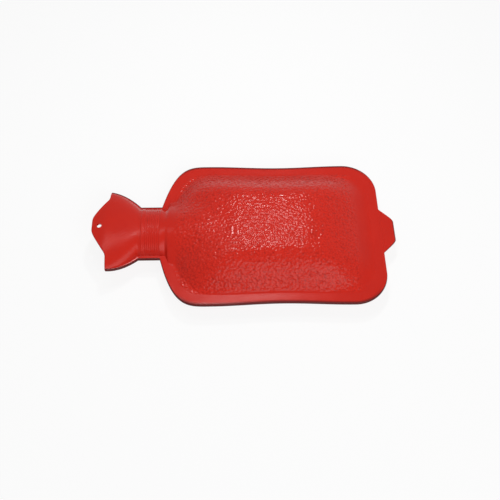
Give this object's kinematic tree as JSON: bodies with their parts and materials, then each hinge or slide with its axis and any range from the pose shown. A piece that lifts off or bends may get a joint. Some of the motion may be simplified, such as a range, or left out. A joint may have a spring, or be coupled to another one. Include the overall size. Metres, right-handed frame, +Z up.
{
  "type": "hot water bottle",
  "caption": "Red rubber hot water bottle lying flat, with a seam rim, ribbed neck, funnel mouth, hanging tab and a screw stopper set inside the funnel.",
  "frame": {"origin": "centre of the overall box, on the surface that the bottle lies on", "axes": "+X along the bottle from its mouth to its closed end, +Z up, away from the surface it lies on"},
  "size_m": [0.359, 0.1936, 0.049],
  "materials": {
    "red_rubber": "satin moulded rubber with a pebble grain on the panels",
    "insert_brass": "turned brass",
    "stopper_plastic": "moulded plastic",
    "washer_rubber": "plain soft rubber"
  },
  "bodies": {
    "bottle": {"bottle_body": "red_rubber", "threaded_insert": "insert_brass"},
    "washer": {"sealing_washer": "washer_rubber"},
    "stopper": {"stopper": "stopper_plastic"}
  },
  "joints": [
    {"name": "stopper_lift", "type": "slide", "parent": "bottle", "child": "washer", "axis": [-1, 0, 0], "range_m": [0, 0.0136]},
    {"name": "stopper_turn", "type": "hinge", "parent": "washer", "child": "stopper", "pos_m": [-0.1225, 0, 0.02], "axis": [-1, 0, 0], "range_deg": [0, 1080]}
  ],
  "couplings": [
    {"joint": "stopper_lift", "follows": "stopper_turn", "m_per_rad": 0.0007162}
  ]
}
